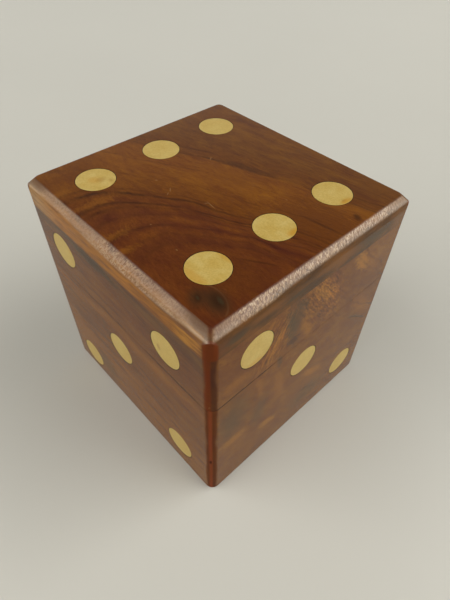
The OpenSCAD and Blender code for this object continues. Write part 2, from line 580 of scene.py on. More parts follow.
def streaks(place, turn, length, width, detail=3.0, rough=0.5):
    """Noise drawn out along the grain."""
    drawn = along(place, turn, length, width)
    return mottling(drawn, 1.0, detail, Roughness=rough)


def length_of(place):
    """How far a place is from its start."""
    return add_node("VectorMath", {0: place}, operation="LENGTH").outputs["Value"]


def how_far(place, turn, half_length, half_width, middle):
    """Distance from the middle of a long spot, which is 1 at the spot's edge."""
    return length_of(along(place, turn, half_length, half_width, middle, ENDLESS))


def blot(place, tones, colour, feather=None):
    """Coloured streaks and marks laid over a colour, each a (colour, strength, across, up,
    half length, half width, turn). A feather is a noise that frays their edges."""
    inner, outer = (0.35, 1.2) if feather else (0.2, 1.3)
    for tone, strength, across, up, half_length, half_width, turn in tones:
        far = how_far(place, turn, half_length, half_width, (across, up))
        if feather:
            far = sum_up("ADD", far, feather)
        colour = lay_over(cross_fade(far, inner, outer, strength, 0.0), colour, tone)
    return colour


def rosewood(side, rings, bands, lines, stains, seed, marks=(), edges=None, pebbled=False):
    """Lacquered rosewood. The figure is made in this order:
    rings   the middle of the growth rings, their turn and stretch, and the first radius
    bands   broad colours, each a (distance past the first radius, colour)
    stains  coloured streaks that bend with the grain, as in blot
    lines   dark growth lines, each a (distance past the first radius, half width, darkness)
    edges   a change of the colour at the board's edges or the seam, made by a function
    marks   small spots and scratches that don't bend, as in blot
    pebbled is for the thick lacquer on a chamfer, with its painted sheen, glints and shade."""
    finish, tree, surface = new_finish(("chamfer" if pebbled else side) + "_rosewood")
    place = face_place(tree, side)
    bent = wander(wander(place, 22.0, 6.0, seed), 5.0, 1.3, seed + 1)
    middle, ring_turn, stretch, first = rings
    radius = how_far(bent, ring_turn, stretch, 1.0, middle)
    past = sum_up("SUBTRACT", radius, first)
    share = sum_up("DIVIDE", past, RING_SPAN)
    colour = ramp_of(share, [(at / RING_SPAN, tone) for at, tone in bands], "EASE")

    across, up, depth = apart(bent)
    grain = joined(scaled(depth, 0.7, across), radius, scaled(depth, 0.7, up))
    cloud = streaks(grain, 0, 14.0, 5.0, 4.0, 0.6)
    colour = tinted(colour, 0.8, cloud, (0.3, (0.77, 0.68, 0.95)), (0.7, (1.25, 1.33, 0.95)))
    band = streaks(grain, 0, 22.0, 1.3, 3.0, 0.6)
    colour = tinted(colour, 0.55, band, (0.3, (0.72, 0.65, 0.80)), (0.7, (1.23, 1.28, 1.0)))
    frayed = streaks(grain, 0, 7.0, 0.8, 4.0, 0.75)
    colour = blot(bent, stains, colour, scaled(frayed, 2.4, -1.2))

    patchy = cross_fade(streaks(grain, 0, 9.0, 4.0), 0.35, 0.65, 0.25, 0.9)
    for at, half, darkness in lines:
        drawn = cross_fade(away_from(past, at), 0.0, 1.3 * half, darkness, 0.0)
        colour = lay_over(times(drawn, patchy), colour, DARK_HEART)

    fibre = streaks(grain, 0, 4.0, 0.32, 4.0, 0.7)
    colour = tinted(colour, 0.6, fibre, (0.3, (0.72, 0.68, 0.64)), (0.7, (1.24, 1.26, 1.22)))
    pore = cross_fade(streaks(grain, 0, 1.2, 0.13, 2.0, 0.5), 0.60, 0.72)
    colour = lay_over(times(pore, PORE_SHARE), colour, DARK_HEART)
    if edges:
        colour = edges(tree, colour)
    colour, rounded, towards_end = sanded_corners(tree, colour)
    colour = blot(place, marks, colour)
    height = scaled(pore, -PORE_SHARE, times(fibre, 0.3))

    if pebbled:
        colour, height, film = chamfer_film_and_painted_light(tree, colour, height, towards_end)
        ior, roughness, relief = THICK
    else:
        film = scaled(rounded, -0.75, 0.95)
        ior, roughness, relief = SATIN
    bump = bump_of(relief, GRAIN_RISE, height)
    set_inputs(surface, {
        "Base Color": colour, "Specular IOR Level": 0.0, "Normal": bump, "Coat Normal": bump,
        "Roughness": cross_fade(mottling(place, 0.12, 4.0), 0.35, 0.7, 0.4, 0.55),
        "Coat Weight": film, "Coat IOR": ior, "Coat Roughness": roughness,
    })
    return finish


def chamfer_film_and_painted_light(tree, colour, height, towards_end):
    """The thick film on the chamfer, pebbled by the brush, with painted light on it: a pale sheen
    that is partly wear and partly a painted highlight of the lamps. It is whitest, with painted
    glints, and roughest on the two ends and thin at the mitres, its lower edge wanders, and at
    the two corners of the front it has a painted shade above and a painted highlight below. It
    gives the colour, the height and the amount of lacquer."""
    x, y, z = apart(place_in_mm(tree))
    rise = sum_up("SUBTRACT", z, CHAMFER_FOOT)
    on_end = cross_fade(towards_end, -0.05, 0.05)
    off_mitre = sum_up("ABSOLUTE", towards_end)

    def by_side(in_front, at_end):
        return cross_fade(on_end, 0.0, 1.0, in_front, at_end)

    run = by_side(x, y)
    high = cross_fade(rise, 0.5, 2.0)
    by_corner = cross_fade(off_mitre, 10.0, 4.0)
    # Painted shade on the upper part of the chamfer near the corners: it darkens the sheen and
    # thins the coat.
    painted_corner_shade = times(by_corner, high)
    front_corner = times(by_corner, by_side(1.0, 0.0))
    rugged = times(scaled(by_corner, -1.0, 1.0), on_end)
    brushed = joined(scaled(z, -0.5, run), z, 0.0)
    curled = along(wander(brushed, 1.5, 1.0, 71), 0, 0.46, 0.66)
    pebble = mottling(curled, 1.0, Roughness=0.6, Distortion=0.9)

    low_in_front = cross_fade(away_from(run, 12.0), 40.0, 2.0, 0.0, 1.3)
    low_at_end = cross_fade(away_from(run, -25.0), 14.0, 6.0, -0.15, 0.25)
    lowered = times(by_side(low_in_front, low_at_end), cross_fade(off_mitre, 6.0, 12.0, 0.5, 1.0))
    film = times(
        cross_fade(off_mitre, 0.2, 1.0, 0.1),
        cross_fade(sum_up("ADD", rise, lowered), 0.15, 1.05),
        cross_fade(rise, CHAMFER_LIP - 0.05, CHAMFER_LIP - 0.45),
    )

    # The pale sheen, partly wear and partly a painted highlight of the lamps, painted lighter
    # towards the foot and darker near the corners.
    rough_patch = cross_fade(away_from(run, 8.0), 15.0, 5.0, 0.25, 0.65)
    swing = by_side(rough_patch, scaled(rugged, 0.45, 0.4))
    wear_and_sheen = scaled(cross_fade(pebble, 0.38, 0.64, -0.5, 0.5), swing, by_side(0.40, 0.57))
    wear_and_sheen = times(
        wear_and_sheen, film,
        cross_fade(streaks(brushed, 0, 9.0, 9.0), 0.35, 0.65, 0.8, 1.1),
        scaled(high, by_side(0.12, 0.30), by_side(1.0, 0.8)),
        cross_fade(rise, 0.9, -0.1, 1.0, 1.55),
        scaled(painted_corner_shade, -0.3, 1.0),
    )
    # Painted glints on the two ends, away from the corners.
    painted_glints = times(cross_fade(pebble, 0.55, 0.68, 0.0, 0.6), rugged, high, film)
    # A painted shade on the upper part of the chamfer at the front corners.
    dull = times(
        cross_fade(rise, 0.6, 1.1, 0.0, 0.65), front_corner,
        cross_fade(off_mitre, 0.3, 1.2),
    )
    # A painted highlight along the foot of the chamfer at the front corners.
    glow = times(cross_fade(rise, 0.9, 0.4, 0.0, 0.5), front_corner, film)
    for amount, tone in (
        (wear_and_sheen, PALE_WEAR_AND_SHEEN), (painted_glints, PAINTED_HIGHLIGHT_TONE), (dull, PAINTED_SHADE_TONE), (glow, PAINTED_HIGHLIGHT_TONE),
    ):
        colour = lay_over(amount, colour, tone)

    height = scaled(pebble, scaled(rugged, 1.2, 1.0), height)
    film = cross_fade(film, 0.0, 1.0, by_side(0.6, 0.35), by_side(0.85, 1.0))
    dulled = scaled(high, by_side(-0.25, 0.0), scaled(painted_corner_shade, -0.45, 1.0))
    return colour, height, times(film, dulled)


def sanded_corners(tree, colour):
    """Deep red end wood that shows where the upright corners were sanded round: wide on the
    top board, striped on the lid and on the base. The stripes are painted light across the
    rounding: on the lid the half towards the end is a darker purple, a painted shade, and on
    the base dark flanks of painted shade lie round a brighter middle, a painted highlight. It
    also tells whether a place is on such a corner, and how far from the mitre."""
    x, y, z = apart(place_in_mm(tree))
    wide = sum_up("ABSOLUTE", x)
    deep = sum_up("ABSOLUTE", y)
    from_corner = sum_up("SUBTRACT", HALF_GIRTH, sum_up("ADD", wide, deep))
    towards_end = sum_up("ADD", sum_up("SUBTRACT", wide, deep), LONGER_REACH)
    on_top = cross_fade(z, TOP_JOINT / MM - 0.3, TOP_JOINT / MM + 0.3)
    on_lid = cross_fade(z, SEAM / MM - 0.3, SEAM / MM + 0.3)
    wobble = mottling(face_place(tree, "front"), 0.15, 4.0)
    edge = scaled(on_top, -0.15, scaled(wobble, 1.2, from_corner))
    rounded = cross_fade(edge, CORNER_SKIN + 0.9, CORNER_SKIN + 0.25)
    across = scaled(wobble, 0.12, scaled(towards_end, 0.25, 0.44))
    # Painted shade and highlight across the rounded corner, over its deep red.
    lid_red_and_shade = ramp_of(across, [(0.42, CORNER_RED), (0.62, CORNER_PAINTED_SHADE)])
    base_shade_and_highlight = ramp_of(across, [
        (0.16, CORNER_FLANK_SHADE), (0.36, CORNER_PAINTED_HIGHLIGHT), (0.52, CORNER_PAINTED_HIGHLIGHT), (0.66, CORNER_FLANK_SHADE),
    ])
    tone = lay_over(on_lid, base_shade_and_highlight, lid_red_and_shade)
    tone = lay_over(on_top, tone, CORNER_RED)
    amount = times(rounded, cross_fade(wobble, 0.35, 0.6, 0.75, 0.95))
    return lay_over(amount, colour, tone), rounded, towards_end


def board_edges(tree, colour):
    """The edge of the top board: pale sapwood in front, darker near its two ends, with a painted
    haze of reflected light at its left end, and grey end grain with paler clouds at the two
    ends of the board."""
    colour = knot_ring(tree, colour)
    x, y, z = apart(place_in_mm(tree))
    place = face_place(tree, "top")
    across, up, rise = apart(wander(place, 5.0, 1.6, 51.0))
    top_limit = cross_fade(rise, 75.4, 74.2)
    low_limit = cross_fade(rise, 67.6, 69.3, 0.25, 1.0)
    # The front edge's tone across the box; its paler, greyer left end is a painted haze of
    # reflected light.
    tone = ramp_of(scaled(across, MM / BOX_WIDTH, 0.5), [
        (0.08, (0.318, 0.165, 0.050)), (0.22, (0.330, 0.126, 0.012)),
        (0.40, (0.300, 0.112, 0.005)), (0.60, (0.315, 0.118, 0.006)),
        (0.84, (0.240, 0.085, 0.004)), (0.90, BRIGHT_SAP), (0.955, GOLD_SAP), (0.985, RED_BROWN),
    ])
    edge_place = wander(face_place(tree, "front"), 5.0, 0.8, 61.0)
    tone = blot(edge_place, [
        (RED_BROWN, 0.5, 10, 73.4, 24, 1.0, -1),
        (DARK_HEART, 0.5, 24, 73.2, 9, 0.6, 1),
        (RED_BROWN, 0.8, 31.5, 72.8, 5, 0.9, 0),
    ], tone)
    sap_line = cross_fade(streaks(edge_place, 0, 9.0, 0.8), 0.45, 0.7, 0.0, 0.6)
    tone = lay_over(sap_line, tone, RED_BROWN)
    fine = streaks(edge_place, 6, 5.0, 0.4, 3.0, 0.65)
    tone = tinted(tone, 0.9, fine, (0.35, (0.78, 0.74, 0.70)), (0.65, (1.22, 1.22, 1.15)))
    skin = (BOX_DEPTH / 2 - CHAMFER_RUN) / MM
    at_front = cross_fade(y, 0.4 - skin, -0.4 - skin)
    colour = lay_over(times(at_front, top_limit, low_limit), colour, tone)

    mottle = streaks(place, 90, 7.0, 2.2, 4.0, 0.6)
    end_grain = ramp_of(mottle, [
        (0.34, (0.064, 0.028, 0.008)), (0.5, (0.090, 0.036, 0.006)), (0.66, (0.14, 0.050, 0.006)),
    ])
    end_grain = blot(wander(face_place(tree, "right"), 5.0, 1.2, 61.0), [
        ((0.165, 0.060, 0.008), 0.8, -19, 71.8, 7, 1.4, 2),
        ((0.175, 0.064, 0.008), 0.85, 5.5, 71.8, 9, 2.4, -3),
        ((0.165, 0.066, 0.014), 0.8, 31.5, 70.5, 5, 4, 0),
        ((0.120, 0.036, 0.006), 0.7, -33.5, 70.5, 3.5, 4, 0),
        ((0.062, 0.036, 0.014), 0.8, -28.5, 70.8, 4, 1.2, 0),
        ((0.062, 0.036, 0.014), 0.8, -9.5, 70.2, 4.5, 1.0, 3),
        ((0.070, 0.040, 0.015), 0.8, 20.5, 70.6, 8, 2.0, -2),
    ], end_grain)
    skin = (BOX_WIDTH / 2 - CHAMFER_RUN) / MM
    at_end = cross_fade(sum_up("ABSOLUTE", x), skin - 0.4, skin + 0.4)
    return lay_over(times(at_end, top_limit), colour, end_grain)


def knot_ring(tree, colour):
    """A fine pale growth line that bends round the far side of the two knots."""
    nearby = along(face_place(tree, "top"), -14, 5.2, 3.3, (30.2, -29.3), ENDLESS)
    off_line = away_from(length_of(nearby), 1.0)
    on_line = cross_fade(off_line, 0.09, 0.0, 0.0, 0.4)
    beyond = cross_fade(apart(nearby)[1], 0.1, 0.5)
    return lay_over(times(on_line, beyond), colour, KNOT_RING)


top_figure = dict(
    side="top",
    rings=((55.3, -18.2), 12.5, 3.0, 0.0),
    bands=[
        (0, (0.098, 0.026, 0.009)), (12, (0.103, 0.027, 0.009)), (14.5, (0.120, 0.033, 0.009)),
        (16, (0.100, 0.027, 0.009)), (17.5, (0.130, 0.037, 0.009)),
        (18.8, (0.100, 0.026, 0.009)), (20, (0.132, 0.038, 0.009)),
        (21.2, (0.110, 0.030, 0.009)), (22.5, (0.127, 0.037, 0.008)),
        (24, (0.115, 0.032, 0.008)), (25.3, (0.122, 0.036, 0.007)), (28, (0.145, 0.046, 0.007)),
        (36, (0.180, 0.060, 0.008)), (42, (0.170, 0.056, 0.009)), (45, (0.130, 0.043, 0.009)),
        (52, (0.125, 0.044, 0.010)), (60, (0.140, 0.050, 0.010)), (68, (0.135, 0.045, 0.008)),
    ],
    lines=[
        (15.6, 0.3, 0.2), (17.0, 0.3, 0.25), (18.7, 0.35, 0.35), (20.8, 0.3, 0.3),
        (22.3, 0.3, 0.45), (23.2, 0.4, 0.7), (25.5, 0.45, 0.75), (26.6, 0.3, 0.3),
        (31.5, 0.3, 0.25), (38.0, 0.3, 0.25), (43.8, 0.6, 0.4), (47.0, 0.5, 0.35),
    ],
    stains=[
        (RED_BROWN, 0.85, 28, 8, 12, 9, 0),
        ((0.070, 0.026, 0.009), 0.6, -1, 11.6, 12, 1.5, 23),
        (RED_BROWN, 0.5, -31, -24, 9, 9, 0),
        (RED_BROWN, 0.5, 26, -22, 12, 8, 30),
        (AMBER, 0.4, -14.5, -29, 2.2, 9, -8),
        (AMBER, 0.45, 0, -31, 1.8, 6, 0),
        (AMBER, 0.35, -24, -33, 2, 4, -10),
        (AMBER, 0.4, 6, -33, 1.5, 4, 0),
    ],
    marks=[
        (KNOT_SHADE, 0.85, 31.0, -28.2, 5.0, 3.2, -15),
        (KNOT_SHADE, 0.7, 27.6, -30.6, 3.4, 2.2, -35),
        (DARK_HEART, 0.5, 31.3, -27.9, 3.0, 1.6, -15),
        (DARK_HEART, 0.5, 27.8, -30.4, 1.6, 0.9, -30),
        (KNOT_GREEN, 0.5, 31.6, -27.5, 1.5, 0.6, -15),
        (KNOT_GREEN, 0.5, 27.8, -30.4, 0.8, 0.4, -20),
        (DARK_HEART, 0.6, 33.6, 16.6, 1.6, 1.1, -30),
        (DARK_HEART, 0.45, 30, 7.6, 6.5, 0.5, 8),
        (DARK_HEART, 0.4, 29, -13.2, 5.5, 0.4, 33),
        (PALE_SCRATCH_AND_GLINT, 0.75, 5.8, -7.0, 1.9, 0.16, -8),
        (PALE_SCRATCH_AND_GLINT, 0.65, 4.4, -7.3, 0.7, 0.14, 50),
        (PALE_SCRATCH_AND_GLINT, 0.75, -6.4, -10.4, 1.0, 0.16, -40),
        (PALE_SCRATCH_AND_GLINT, 0.65, -5.4, -12.0, 0.7, 0.16, -50),
        (PALE_SCRATCH_AND_GLINT, 0.5, -11.0, 7.9, 1.0, 0.25, -50),
        (PALE_SCRATCH_AND_GLINT, 0.6, 13.4, -24.2, 0.4, 0.22, 0),
        (PALE_SCRATCH_AND_GLINT, 0.5, 2.0, -23.0, 0.3, 0.25, 0),
        (PALE_SCRATCH_AND_GLINT, 0.45, -12.4, -10.4, 0.4, 0.3, 0),
        (PALE_SCRATCH_AND_GLINT, 0.45, 17.0, 9.0, 0.3, 0.2, 0),
    ],
    seed=3.0,
    edges=board_edges,
)
top_wood = rosewood(**top_figure)
chamfer_wood = rosewood(pebbled=True, **top_figure)

top_board = whole_outside()
chamfer_tilt = math.atan2(CHAMFER_RUN, CHAMFER_DROP)
foot_radius = CHAMFER_FOOT_EASE / math.tan(chamfer_tilt / 2)
foot_level = UP * (BOX_HEIGHT - CHAMFER_DROP - CHAMFER_FOOT_EASE)
for side in SIDES:
    centre = OUTWARD[side] * (reach(side) - foot_radius) + foot_level
    for step in range(1, FOOT_FLATS):
        turn = chamfer_tilt * step / FOOT_FLATS
        waste = OUTWARD[side] * math.cos(turn) + UP * math.sin(turn)
        saw(top_board, centre + waste * foot_radius, waste)
for side, other_side in zip(SIDES, SIDES[1:] + SIDES[:1]):
    one = OUTWARD[side] * math.cos(chamfer_tilt) + UP * math.sin(chamfer_tilt)
    other = OUTWARD[other_side] * math.cos(chamfer_tilt) + UP * math.sin(chamfer_tilt)
    tip = UP * BOX_HEIGHT
    for edge_side in (side, other_side):
        tip = tip + OUTWARD[edge_side] * (reach(edge_side) - CHAMFER_RUN)
    inward = (one + other).normalized() / math.cos(one.angle(other) / 2)
    centre = tip - inward * MITRE_ROUND
    for step in range(1, MITRE_FLATS):
        waste = one.slerp(other, step / MITRE_FLATS)
        saw(top_board, centre + waste * MITRE_ROUND, waste)
lip = [e for e in top_board.edges if min(v.co.z for v in e.verts) > BOX_HEIGHT - HAIR]
bevel(top_board, lip, CHAMFER_LIP_EASE, LIP_FLATS)
saw(top_board, UP * TOP_JOINT, -UP)
for floor in drill_seats(top_board, "top", pips_on("top", "lid")).values():
    close_up(top_board, floor)
face_out(top_board)
steepest, flattest = CHAMFER_LEANS
for face in top_board.faces:
    leans = steepest < face.normal.z < flattest
    if leans and face.material_index == 0 and min(v.co.z for v in face.verts) > TOP_JOINT + MM:
        face.material_index = CHAMFER_SLOT
top_piece = new_board("top_board", top_board, top_wood)
top_piece.data.materials.append(chamfer_wood)
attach(top_piece, "lid")
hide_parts("lid_top_board")


# ---- Side boards ----
# Four rosewood boards mitred at the corners. Each was one board when the cube was glued,
# and a saw cut through all four parted the lid from the base.
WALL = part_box("lid_front_wall")[1].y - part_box("lid_front_wall")[0].y
ARRIS_EASE = 0.12 * MM
EASE_FLATS = 2
PIN_CLEARANCE = 0.08 * MM
BORE_EASE = 0.15 * MM
MITRE_SLOPE = math.sqrt(0.5)
ALMOST = 1e-3
PIN_BEHIND = {
    "right": ("lock_pin_right", "pip_right_upper"),
    "left": ("lock_pin_left", "pip_left_upper_back"),
}


def seam_shade_and_rubbing(tree, colour):
    """A painted shade along the saw cut between the lid and the base, strongest towards the
    front right corner, with a few rubbed pale spots beside it."""
    x, y, z = apart(place_in_mm(tree))
    off_seam = away_from(z, SEAM / MM)
    place = face_place(tree, "front")
    rubbed = times(
        cross_fade(off_seam, 1.1, 0.5),
        cross_fade(mottling(place, 0.7), 0.60, 0.70, 0.0, 0.6),
    )
    # A painted shade along the seam.
    seam_shade = times(
        cross_fade(off_seam, 0.36, 0.10),
        cross_fade(mottling(place, 0.13, 5.0), 0.38, 0.62, 0.3, 1.0),
        cross_fade(sum_up("SUBTRACT", y, x), -52, -38, 0.9, 0.3),
    )
    return lay_over(seam_shade, lay_over(rubbed, colour, AMBER), DARK_HEART)


def forked_figure(tree, colour):
    """Fine fibres that fan out to both sides below a fork of the tree, and the seam's painted
    shade.
    """
    place = face_place(tree, "right")
    bent = wander(place, 6.0, 1.5, 83.0)
    for turn, across, up, half_length, half_width in ((66, -15, 57, 12, 6), (-54, 3, 60, 14, 8)):
        fibres = streaks(bent, turn, 3.2, 0.42, 3.0, 0.65)
        far = how_far(place, turn, half_length, half_width, (across, up))
        amount = cross_fade(far, 0.5, 1.3, 0.9, 0.0)
        colour = tinted(colour, amount, fibres,
            (0.34, (0.50, 0.46, 0.44)), (0.5, (1.0, 1.0, 1.0)), (0.66, (1.75, 1.65, 1.35)),
        )
    return seam_shade_and_rubbing(tree, colour)


side_woods = {}
side_woods["front"] = rosewood(
    "front",
    rings=((-10, -400), 0, 1.0, 400.0),
    bands=[
        (0, (0.185, 0.068, 0.011)), (10, (0.195, 0.071, 0.011)), (20, (0.180, 0.064, 0.011)),
        (32, (0.150, 0.053, 0.011)), (40, (0.150, 0.053, 0.011)), (45, (0.190, 0.068, 0.011)),
        (49, (0.145, 0.051, 0.011)), (57, (0.145, 0.051, 0.012)), (63, (0.130, 0.048, 0.014)),
        (66, (0.115, 0.048, 0.016)),
    ],
    lines=[(62.0, 0.4, 0.2), (52.5, 0.4, 0.2), (46.6, 0.3, 0.3)],
    stains=[
        (AMBER, 0.45, 14, 43.5, 18, 3, 3),
        (AMBER, 0.4, -28, 16, 12, 16, 30),
        (GREY_BROWN, 0.6, -16, 11, 7, 7, 20),
        (GREY_BLUE, 0.5, -8, 65.4, 15, 2.6, -2),
        (DARK_HEART, 0.45, -6, 65.6, 12, 1.2, -3),
    ],
    marks=[
        (PIT_DARK, 0.95, 37.3, 19.5, 1.3, 0.7, 90),
        # Pale marks on the seam near the front right corner: painted glints.
        (PALE_SCRATCH_AND_GLINT, 0.5, 26.5, 48.8, 1.0, 0.25, -35),
        (PALE_SCRATCH_AND_GLINT, 0.45, 29.5, 48.0, 0.8, 0.2, -20),
        (PALE_SCRATCH_AND_GLINT, 0.4, 36.9, 49.5, 0.5, 0.2, 80),
    ],
    seed=11.0,
    edges=seam_shade_and_rubbing,
)
side_woods["right"] = rosewood(
    "right",
    rings=((150, 120), -30, 1.6, 80.0),
    bands=[
        (0, (0.150, 0.056, 0.010)), (14, (0.180, 0.068, 0.010)), (26, (0.145, 0.051, 0.010)),
        (38, (0.185, 0.070, 0.010)), (50, (0.145, 0.051, 0.010)), (66, (0.165, 0.060, 0.010)),
    ],
    lines=[
        (22.0, 0.4, 0.35), (33.0, 0.5, 0.35), (44.0, 0.4, 0.45), (46.5, 0.4, 0.4),
        (57.0, 0.4, 0.45), (62.0, 0.4, 0.35),
    ],
    stains=[
        ((0.118, 0.036, 0.009), 0.5, -27, 60, 13, 7, 0),
        ((0.094, 0.044, 0.015), 0.85, -8, 62, 9, 4.5, -80),
        (GREY_BROWN, 0.7, -8.5, 57, 9, 2.6, -78),
        (GREY_BLUE, 0.35, -10, 62.5, 6, 1.8, -62),
        (GREY_BLUE, 0.35, -6.0, 65.5, 4.0, 1.8, -50),
        (GOLD_SAP, 0.55, -14.5, 57, 7.0, 1.2, 68),
        (AMBER, 0.6, -12.0, 60, 6.0, 0.5, 70),
        (AMBER, 0.6, -17.5, 56, 6.0, 0.7, 64),
        (AMBER, 0.7, -19.5, 64, 5.0, 1.0, 58),
        (AMBER, 0.5, -28, 53.5, 4.5, 2.6, 10),
        (GOLD_SAP, 0.75, 2.5, 63.5, 7, 2.8, -55),
        ((0.090, 0.034, 0.010), 0.55, 1.0, 63, 6, 0.35, -52),
        ((0.090, 0.034, 0.010), 0.5, 4.0, 63.5, 5, 0.3, -55),
        (AMBER, 0.6, 7.5, 59, 6, 1.4, -60),
        (GOLD_SAP, 0.85, 18.0, 64, 6.5, 2.8, -52),
        (AMBER, 0.5, 24, 60, 7, 2.0, -60),
        (GOLD_SAP, 0.5, -2.6, 53.5, 6.0, 1.6, -72),
        ((0.066, 0.023, 0.010), 0.75, -8.0, 53.0, 3.4, 1.8, 10),
        (GREY_BLUE, 0.55, -13.0, 47, 3.5, 1.2, -80),
        (GREY_BROWN, 0.65, -28.5, 37, 12, 6.5, -85),
        (GREY_BLUE, 0.2, -31, 33, 9, 4.5, -80),
        (AMBER, 0.55, -11, 34, 9, 2.2, -72),
        (AMBER, 0.45, -19.5, 41, 8, 1.2, -75),
        (AMBER, 0.6, 26, 41, 10, 3, -50),
        (GREY_BROWN, 0.6, 24, 36.5, 6, 1.2, -45),
        (GREY_BROWN, 0.6, 6, 13, 9, 6, 0),
        (GREY_BROWN, 0.6, -18, 28, 4, 9, 0),
        (GOLD_SAP, 0.6, 5, 24, 7, 2.2, -35),
        (GOLD_SAP, 0.65, -13, 17, 5, 2.2, -20),
        (GOLD_SAP, 0.55, -28, 24.3, 6, 2.2, -15),
    ],
    seed=17.0,
    edges=forked_figure,
)
side_woods["back"] = rosewood(
    "back",
    rings=((20, -300), 0, 1.2, 300.0),
    bands=[
        (0, (0.120, 0.042, 0.010)), (18, (0.160, 0.060, 0.010)), (30, (0.125, 0.045, 0.011)),
        (46, (0.155, 0.058, 0.010)), (60, (0.105, 0.038, 0.012)),
    ],
    lines=[(24.0, 0.5, 0.5), (35.0, 0.4, 0.5), (37.5, 0.4, 0.4), (53.0, 0.5, 0.5)],
    stains=[
        (AMBER, 0.5, -10, 30, 24, 4, -5),
        (GREY_BLUE, 0.6, 12, 58, 14, 3, 4),
        (DARK_HEART, 0.7, -20, 42, 3, 2, 10),
    ],
    seed=23.0,
    edges=seam_shade_and_rubbing,
)
side_woods["left"] = rosewood(
    "left",
    rings=((-30, -200), 0, 1.3, 200.0),
    bands=[
        (0, (0.125, 0.044, 0.010)), (16, (0.110, 0.040, 0.012)), (34, (0.155, 0.058, 0.010)),
        (50, (0.165, 0.062, 0.010)), (62, (0.115, 0.040, 0.011)),
    ],
    lines=[(12.0, 0.5, 0.5), (28.0, 0.5, 0.6), (29.8, 0.4, 0.4), (57.0, 0.5, 0.5)],
    stains=[
        (AMBER, 0.5, 8, 52, 20, 4, 6),
        (GREY_BROWN, 0.6, -12, 26, 14, 5, 10),
        (AMBER, 0.4, 14, 9, 10, 3, 4),
    ],
    seed=29.0,
    edges=seam_shade_and_rubbing,
)


def mitred(faces, across):
    """Whether any of some faces is a mitre of a strip that faces one way or runs along it."""
    return any(abs(abs(face.normal.dot(across)) - MITRE_SLOPE) < ALMOST for face in faces)


def mitre_ends(shape, out, outer, half_length):
    """Saws both ends of a strip to 45 degrees, to meet its neighbours."""
    for end in (UP.cross(out), out.cross(UP)):
        saw(shape, out * outer + end * half_length, end - out)


def mitred_board(side, from_z, to_z):
    """One side board of the cube between two heights."""
    board = whole_outside()
    out = OUTWARD[side]
    half_length = reach("right" if side in ("front", "back") else "front")
    saw(board, UP * to_z, UP)
    saw(board, UP * from_z, -UP)
    saw(board, out * (reach(side) - WALL), -out)
    mitre_ends(board, out, reach(side), half_length)
    arris = [
        e for e in board.edges
        if all(abs(v.co.z - SEAM) < ALMOST * MM for v in e.verts)
        and not mitred(e.link_faces, out)
    ]
    bevel(board, arris, ARRIS_EASE, EASE_FLATS)
    return board


for body, from_z, to_z in (("lid", SEAM, TOP_JOINT), ("base", 0.0, SEAM)):
    for side in SIDES:
        out = OUTWARD[side]
        board = mitred_board(side, from_z, to_z)
        floors = drill_seats(board, side, pips_on(side, body))
        pin, pip = PIN_BEHIND.get(side, (None, None))
        if pip in floors:
            bore = round_size(pin) + PIN_CLEARANCE
            at = middle_of(pip)
            outer_ring = new_ring(board, at - out * (PIP_DEPTH / 2), out, bore)
            bmesh.ops.triangle_fill(
                board, edges=floors.pop(pip) + outer_ring, normal=out, use_beauty=True
            )
            inner_ring = drill(board, -out, [(at, bore, 2 * BORE_EASE, BORE_EASE)])[0]
            bmesh.ops.bridge_loops(board, edges=outer_ring + inner_ring)
        for floor in floors.values():
            close_up(board, floor)
        piece = new_board(f"{body}_{side}_board", board, side_woods[side])
        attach(piece, body)
        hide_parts(f"{body}_{side}_wall")


# ---- Bottom board ----
# A rosewood board let in between the base's side boards, with one pip underneath. It has
# the same finish, and its edges are barely eased.
BOARD_EASE = 0.12 * MM

bottom_wood = rosewood(
    "bottom",
    rings=((10, -300), 0, 1.2, 260.0),
    bands=[
        (0, (0.120, 0.042, 0.010)), (30, (0.150, 0.056, 0.010)), (44, (0.115, 0.040, 0.011)),
        (60, (0.140, 0.052, 0.010)),
    ],
    lines=[(20.0, 0.5, 0.4), (41.0, 0.5, 0.5)],
    stains=[
        (AMBER, 0.4, 10, 12, 22, 4, 4),
        (GREY_BROWN, 0.5, -14, -16, 16, 4, 6),
    ],
    seed=37.0,
)
name = "base_bottom_board"
low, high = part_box(name)
bottom = bmesh.new()
bmesh.ops.create_cube(bottom, size=1)
bmesh.ops.scale(bottom, vec=high - low, verts=bottom.verts)
bmesh.ops.translate(bottom, vec=middle_of(name), verts=bottom.verts)
bevel(bottom, bottom.edges[:], BOARD_EASE, EASE_FLATS)
for floor in drill_seats(bottom, "bottom", ["pip_bottom"]).values():
    close_up(bottom, floor)
bottom_piece = new_board("base_bottom", bottom, bottom_wood)
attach(bottom_piece, "base")
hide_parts("base_bottom_board")


# ---- Liner ----
# Four strips of paler, unfinished wood mitred and glued inside the base. They stand up
# out of it as a slimmer rim that the lid slips over, with a catch hole for each lock pin.
LID_CLEARANCE = 0.2 * MM
RIM_CHAMFER = 0.8 * MM
LINER_EASE = 0.2 * MM
LINER_CREASE = 20
CATCH_CLEARANCE = 0.7 * MM
CATCH_DEPTH = 2.9 * MM
PLANED_RISE = 0.1 * MM
PALE_WOOD = (0.38, 0.205, 0.085)
PALE_WOOD_DARK = (0.25, 0.115, 0.042)
PALE_WOOD_LIGHT = (0.47, 0.28, 0.13)


